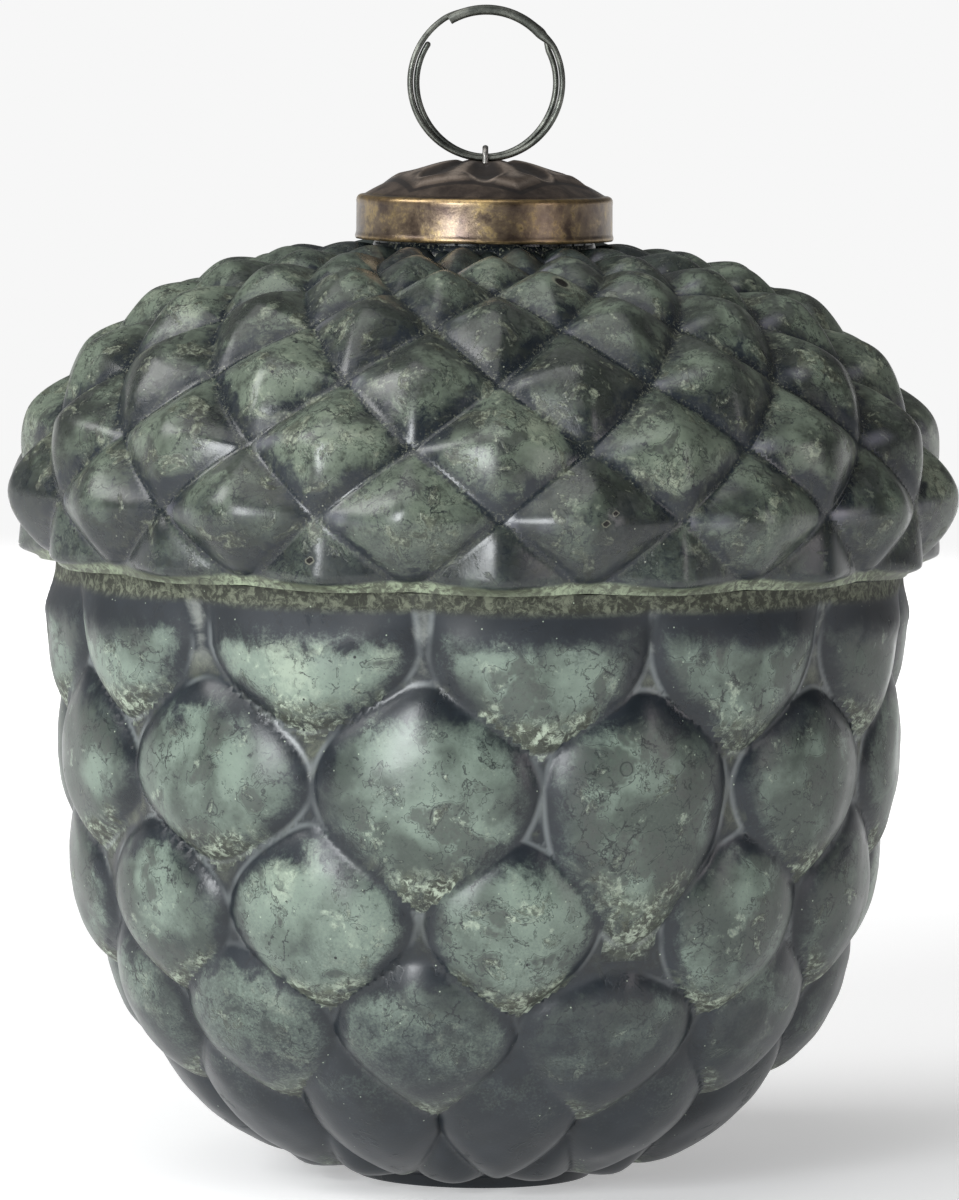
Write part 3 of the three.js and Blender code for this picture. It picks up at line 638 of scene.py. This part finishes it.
def surface(f, colour, cloud, speck, grain, rough_share, smooth_share, gloss=0.0, matte=0.0):
    """Satin everywhere, glossier where the slate is bare, and coarse where there is crust."""
    rough = f.plus(f.step(cloud, 0.3, 0.7, 0.30 - gloss, 0.40 - gloss), f.times(rough_share, 0.18),
                   f.times(smooth_share, -0.03), f.times(matte, 0.26))
    normal = f.bump(grain, 0.014)
    normal = f.bump(f.times(speck, f.plus(f.times(rough_share, 0.9), 0.10)), 0.10, normal)
    return f.set(Base_Color=colour, Roughness=rough, Normal=normal)


def jar_glass():
    f = Finish("jar satin glass", Roughness=0.4, Specular_IOR_Level=0.5)
    outline, lift, tone, level = (f.value(key) for key in ("outline", "lift", "tone", "level"))
    ragged_noise = f.noise(5.5, 5, 0.64, 0.5)
    ragged = f.plus(ragged_noise, -0.5)
    shifted = f.plus(lift, f.times(ragged, 1.3))
    edge = f.plus(outline, f.times(ragged, 0.50))
    # Dark slate lies on the upper sides and edges of the lobes and under the shoulder. Painted shade darkens
    # the glass towards the foot and deepens the slate towards each lobe's edge.
    upper = f.times(f.step(shifted, 0.15, 0.95), f.step(edge, 0.25, 0.85))
    top = f.step(f.plus(level, f.times(ragged, 0.6)), JAR_TOP - 0.66, JAR_TOP - 0.22)
    # Painted shade: darker towards the foot
    foot_shade = f.step(f.plus(level, f.times(ragged, 2.2)), 0.6, 4.1, 1.0, 0)
    # The slate at the lobes' edges, spread into a gradient of painted shade towards each edge
    rim = f.plus(f.step(edge, 0.25, 0.85, 0, 0.38), f.step(edge, 0.72, 0.98, 0, 0.57))
    low = f.times(f.step(shifted, -0.85, -0.42, 1, 0), f.step(edge, 0.50, 0.72))
    crust = f.most(low, f.times(f.step(ragged_noise, 0.61, 0.66), 0.7))
    dark = f.times(f.most(upper, top, rim, foot_shade), f.plus(1.0, f.times(low, -0.6)))
    colour, cloud, speck, grain = verdigris(f, f.times(tone, 0.11), dark, crust, JAR_GREENS)
    colour = f.mix(f.times(f.band(ragged_noise, 0.60, 0.014), 0.75), colour, DEEP)
    # The channels between the lobes, paler further up, with a painted highlight in them near the shoulder, and
    # a painted highlight line beside some lobes
    olive = f.mix(f.step(speck, 0.35, 0.7), CHANNEL_DARK, CHANNEL_LIGHT)
    low_channel = f.mix(f.step(speck, 0.35, 0.7), DEEP, HAZE)
    channel = f.mix(f.step(f.plus(level, f.times(ragged, 2.0)), 2.4, 4.4), low_channel, olive)
    # Painted highlight in the channels near the shoulder
    channel = f.mix(f.step(level, 4.7, 5.1, 0, 0.55), channel, CHANNEL_GLINT)
    colour = f.mix(f.step(edge, 1.0, 1.16, 0, 0.9), colour, channel)
    # A painted highlight line along the lobes' outlines here and there, from the middle rows up
    wear_and_glint = f.times(f.band(outline, 1.02, 0.05), f.step(f.noise(14, 2), 0.40, 0.58), f.step(level, 1.5, 3.5))
    colour = f.mix(f.times(wear_and_glint, 0.38), colour, FILLET_GLINT)
    # Crust-coloured and olive mottling in the cove where the lobes end under the shoulder
    cove = f.step(level, JAR_TOP - 0.19, JAR_TOP - 0.11)
    colour = f.mix(f.times(cove, 0.9), colour, f.mix(f.step(speck, 0.42, 0.66), CRUST, COVE_OLIVE))
    colour = drops(f, colour, JAR_GREENS[2])
    return surface(f, colour, cloud, speck, grain, f.most(crust, cove), dark, matte=top)


def lid_glass():
    f = Finish("lid satin glass", Roughness=0.4, Specular_IOR_Level=0.5)
    inside, across, up, tone, level, flaw = (
        f.value(key) for key in ("inside", "across", "up", "tone", "level", "flaw"))
    ragged_noise = f.noise(5.0, 5, 0.66, 0.5)
    ragged = f.plus(ragged_noise, -0.5)
    # Dark slate lies in the grooves between the scales, towards the cap and in the lowest row. Painted shade
    # spreads it wider onto the lower side of each scale.
    shade = f.plus(inside, f.times(up, 0.22), f.times(ragged, 1.3))
    grooves = f.plus(f.step(shade, 0.02, 0.42, 0.62, 0), f.step(shade, 0.12, 0.85, 0.38, 0))
    high = f.step(f.plus(level, f.times(ragged, 3.0)), 3.6, 7.4, 0, 0.7)
    low = f.step(f.plus(level, f.times(ragged, 2.5)), 0.4, 2.0, 0.60, 0)
    dark = f.most(grooves, f.plus(high, low))
    rim = f.step(f.plus(level, f.times(ragged, 0.10)), 0.12, 0.20, 1, 0)
    beside = f.band(f.plus(inside, f.times(ragged, 0.5)), 0.26, 0.18)
    beside = f.times(beside, f.step(up, -0.45, -0.12, 1, 0))
    flaky = f.step(ragged_noise, 0.57, 0.62, 0, 0.8)
    crust = f.most(f.times(beside, f.step(f.noise(9, 3), 0.42, 0.56)), flaky)
    colour, cloud, speck, grain = verdigris(f, f.times(tone, 0.07), dark, crust, LID_GREENS)
    colour = f.mix(f.times(f.band(ragged_noise, 0.55, 0.014), 0.75), colour, DEEP)
    colour = f.mix(f.step(f.noise(2.4, 5, 0.72), 0.50, 0.64, 0, 0.6), colour, SOOT)
    # A painted highlight on the left-pointing ridge of some scales, and dust in the grooves
    ridge_glint = f.times(f.band(up, 0.0, 0.16), f.step(across, -0.75, -0.30, 1, 0), f.step(inside, 0.04, 0.2))
    colour = f.mix(f.times(ridge_glint, f.step(f.noise(9, 2), 0.40, 0.60, 0.1, 0.6)), colour, LILAC_GLINT)
    dust = f.times(f.step(inside, 0.02, 0.34, 1, 0), f.step(level, 0.4, 4.0, 0.35, 1))
    colour = f.mix(f.times(dust, f.step(f.noise(0.5, 2, 0.8), 0.54, 0.66, 0, 0.75)), colour, DUST)
    # The crusted rim, and the flaws, with a painted highlight round each and painted shade in its pit
    rim_crust = f.mix(f.step(f.noise(16, 3), 0.38, 0.62, 0.25, 1), OLIVE, RIM_GREEN)
    colour = f.mix(f.times(rim, 0.92), colour, f.mix(f.step(speck, 0.40, 0.62), OLIVE, rim_crust))
    colour = drops(f, colour, SPECKS)
    colour = f.mix(f.times(f.band(flaw, 1.15, 0.35), 0.6), colour, FLAW_GLINT)
    colour = f.mix(f.step(flaw, 0.75, 1.05, 0.97, 0), colour, FLAW_PIT_SHADE)
    return surface(f, colour, cloud, speck, grain, f.most(crust, rim), dark, 0.05)


def cap_brass():
    f = Finish("antique brass cap", Metallic=1.0, Roughness=0.4, Coat_Weight=0.30, Coat_Roughness=0.24)
    relief, crest, wear_and_glint = f.value("relief"), f.value("crest"), f.value("wear_and_glint")
    height = f.node("ShaderNodeSeparateXYZ", {0: f.place}).outputs["Z"]
    crown = f.step(height, CAP_SHOULDER, CAP_SHOULDER + 0.5)
    patch, fine = f.noise(6.5, 7, 0.68, 0.25), f.noise(0.8, 4, 0.7)
    skirt = f.mix(f.step(patch, 0.35, 0.65), SKIRT_DARK, SKIRT_LIGHT)
    skirt = f.mix(f.step(f.plus(patch, f.times(fine, 0.5)), 0.78, 0.93, 0, 0.75), skirt, SKIRT_GOLD)
    skirt = f.mix(f.step(f.noise(3.5, 5, 0.7), 0.52, 0.66, 0, 0.6), skirt, SKIRT_STAIN)
    dome = f.mix(f.step(patch, 0.35, 0.65), DOME_DARK, DOME_LIGHT)
    colour = f.mix(crown, skirt, dome)
    # Worn gold on the skirt's rounded edges, partly a painted highlight
    colour = f.mix(f.times(wear_and_glint, f.step(f.plus(fine, patch), 0.8, 1.2, 0.3, 1)), colour, GOLD_WEAR_AND_GLINT)
    # Painted shade in the grooves and pressed hollows, where relief is low
    colour = f.mix(f.step(relief, 0.05, 0.5, 0.75, 0), colour, GROOVE_SHADE)
    colour = f.mix(f.times(crest, f.step(fine, 0.30, 0.6, 0.45, 1.0)), colour, CREST)
    colour = f.mix(f.step(fine, 0.56, 0.72, 0, 0.6), colour, BRASS_STAIN)
    rough = f.plus(f.step(f.plus(patch, f.times(fine, 0.3)), 0.3, 0.9, 0.24, 0.42), f.times(crown, 0.20))
    return f.set(Base_Color=colour, Roughness=rough, Normal=f.bump(fine, 0.03, f.bump(patch, 0.10)))


def wire_metal(name, greys, size):
    """Dull wire, mottled from dark to light in patches of that size."""
    dark, light = greys
    f = Finish(name, Metallic=1.0, Roughness=0.35)
    patch, fine = f.noise(size, 4, 0.6), f.noise(0.35, 3, 0.65)
    colour = f.mix(f.step(patch, 0.35, 0.68), dark, light)
    colour = f.mix(f.step(fine, 0.55, 0.75, 0, 0.4), colour, tuple(c * 0.45 for c in dark))
    rough = f.step(fine, 0.3, 0.7, 0.34, 0.50)
    return f.set(Base_Color=colour, Roughness=rough, Normal=f.bump(fine, 0.008))


piece(make_jar(), "jar", "jar", jar_glass())
piece(make_lid(), "lid", "jar", lid_glass())
piece(make_cap(), "cap", "jar", cap_brass())
piece(make_eye(), "eye", "jar", wire_metal("dull eye wire", EYE_GREYS, 1.6))
piece(make_ring(), "ring", "ring", wire_metal("gunmetal ring", RING_GREYS, 3.0))


# Stage, light and camera

def floor(radius, glow):
    """A pale round floor that glows a little and fades out before its edge."""
    f = Finish("pale floor", Roughness=0.8)
    far = f.node("ShaderNodeVectorMath", {0: f.place}, operation="LENGTH").outputs["Value"]
    tint = f.mix(f.noise(90, 3), (0.88, 0.88, 0.88), (0.92, 0.92, 0.92))
    f.set(Base_Color=tint, Alpha=f.step(far, 700, 1400, 1, 0))
    f.shader.inputs["Emission Color"].default_value = (1, 1, 1, 1)
    f.shader.inputs["Emission Strength"].default_value = glow
    bpy.ops.mesh.primitive_circle_add(vertices=96, radius=radius, fill_type="NGON")
    obj = bpy.context.object
    obj.name = "floor"
    obj.data.materials.append(f.material)


def light(name, place, target, width, height, power, colour=(1, 1, 1), spread=180):
    data = bpy.data.lights.new(name, "AREA")
    data.shape, data.size, data.size_y, data.energy, data.color = "RECTANGLE", width, height, power, colour
    data.spread = math.radians(spread)
    obj = bpy.data.objects.new(name, data)
    obj.location = place
    back = (Vector(place) - Vector(target)).normalized()
    obj.rotation_euler = back.to_track_quat("Z", "Y").to_euler()
    scene.collection.objects.link(obj)


def world():
    """A white backdrop behind the object. The room in front is dimmer, most of all to the right."""
    w = bpy.data.worlds.new("studio")
    scene.world = w
    w.use_nodes = True
    tree = w.node_tree
    new = tree.nodes.new
    parts = new("ShaderNodeSeparateXYZ")
    tree.links.new(new("ShaderNodeTexCoord").outputs["Generated"], parts.inputs[0])

    def ramp(axis, low, high, start, stop):
        node = new("ShaderNodeMapRange")
        tree.links.new(parts.outputs[axis], node.inputs["Value"])
        for key, value in zip(("From Min", "From Max", "To Min", "To Max"), (low, high, start, stop)):
            node.inputs[key].default_value = value
        return node.outputs[0]

    both, share = new("ShaderNodeMath"), new("ShaderNodeMix")
    both.operation = "MULTIPLY"
    tree.links.new(ramp("Z", 0.03, 0.20, 1.0, 0.0), both.inputs[0])
    tree.links.new(ramp("Y", -0.2, 0.4, 0.0, 1.0), both.inputs[1])
    tree.links.new(both.outputs[0], share.inputs[0])
    tree.links.new(ramp("X", -1.0, 1.0, 0.22, 0.09), share.inputs[2])
    share.inputs[3].default_value = 0.93
    tree.links.new(share.outputs[0], tree.nodes["Background"].inputs["Strength"])
    tree.nodes["Background"].inputs["Color"].default_value = (1, 1, 1, 1)


def camera(place, pitch, roll, lens):
    """Looks along +Y, tipped down by pitch and turned on its own line of view by roll, both in degrees."""
    pitch, roll = math.radians(pitch), math.radians(roll)
    data = bpy.data.cameras.new("camera")
    data.lens, data.sensor_width, data.clip_start, data.clip_end = lens, 36.0, 0.05, 50.0
    obj = bpy.data.objects.new("camera", data)
    right, up = np.array((1.0, 0, 0)), np.array((0, math.sin(pitch), math.cos(pitch)))
    back = np.array((0, -math.cos(pitch), math.sin(pitch)))
    matrix = np.eye(4)
    matrix[:3] = np.array((right * math.cos(roll) + up * math.sin(roll),
                           up * math.cos(roll) - right * math.sin(roll), back, np.array(place))).T
    obj.matrix_world = Matrix(matrix.tolist())
    scene.collection.objects.link(obj)
    scene.camera = obj


scene.view_settings.view_transform = "Standard"
floor(radius=1.5, glow=0.36)
world()
light("top", (-0.35, -0.45, 1.4), (0, 0, 0.08), 1.2, 1.2, 8.0)
light("back", (0, 1.15, 0.95), (0, 1.15, 0), 1.2, 0.5, 10.0, spread=80)
light("key", (-0.64, -1.22, 0.40), (0, 0, 0.09), 0.40, 0.56, 14.0, (0.95, 0.98, 1.0))
light("side", (-1.15, -0.35, 0.95), (0, 0, 0.13), 0.75, 0.60, 10.0)
light("fill", (1.16, -0.80, 0.35), (0, 0, 0.1), 0.26, 0.8, 2.4, (1.0, 0.93, 0.95))
camera((0, -1.26, 0.1934), pitch=4.64, roll=0.75, lens=239.4)
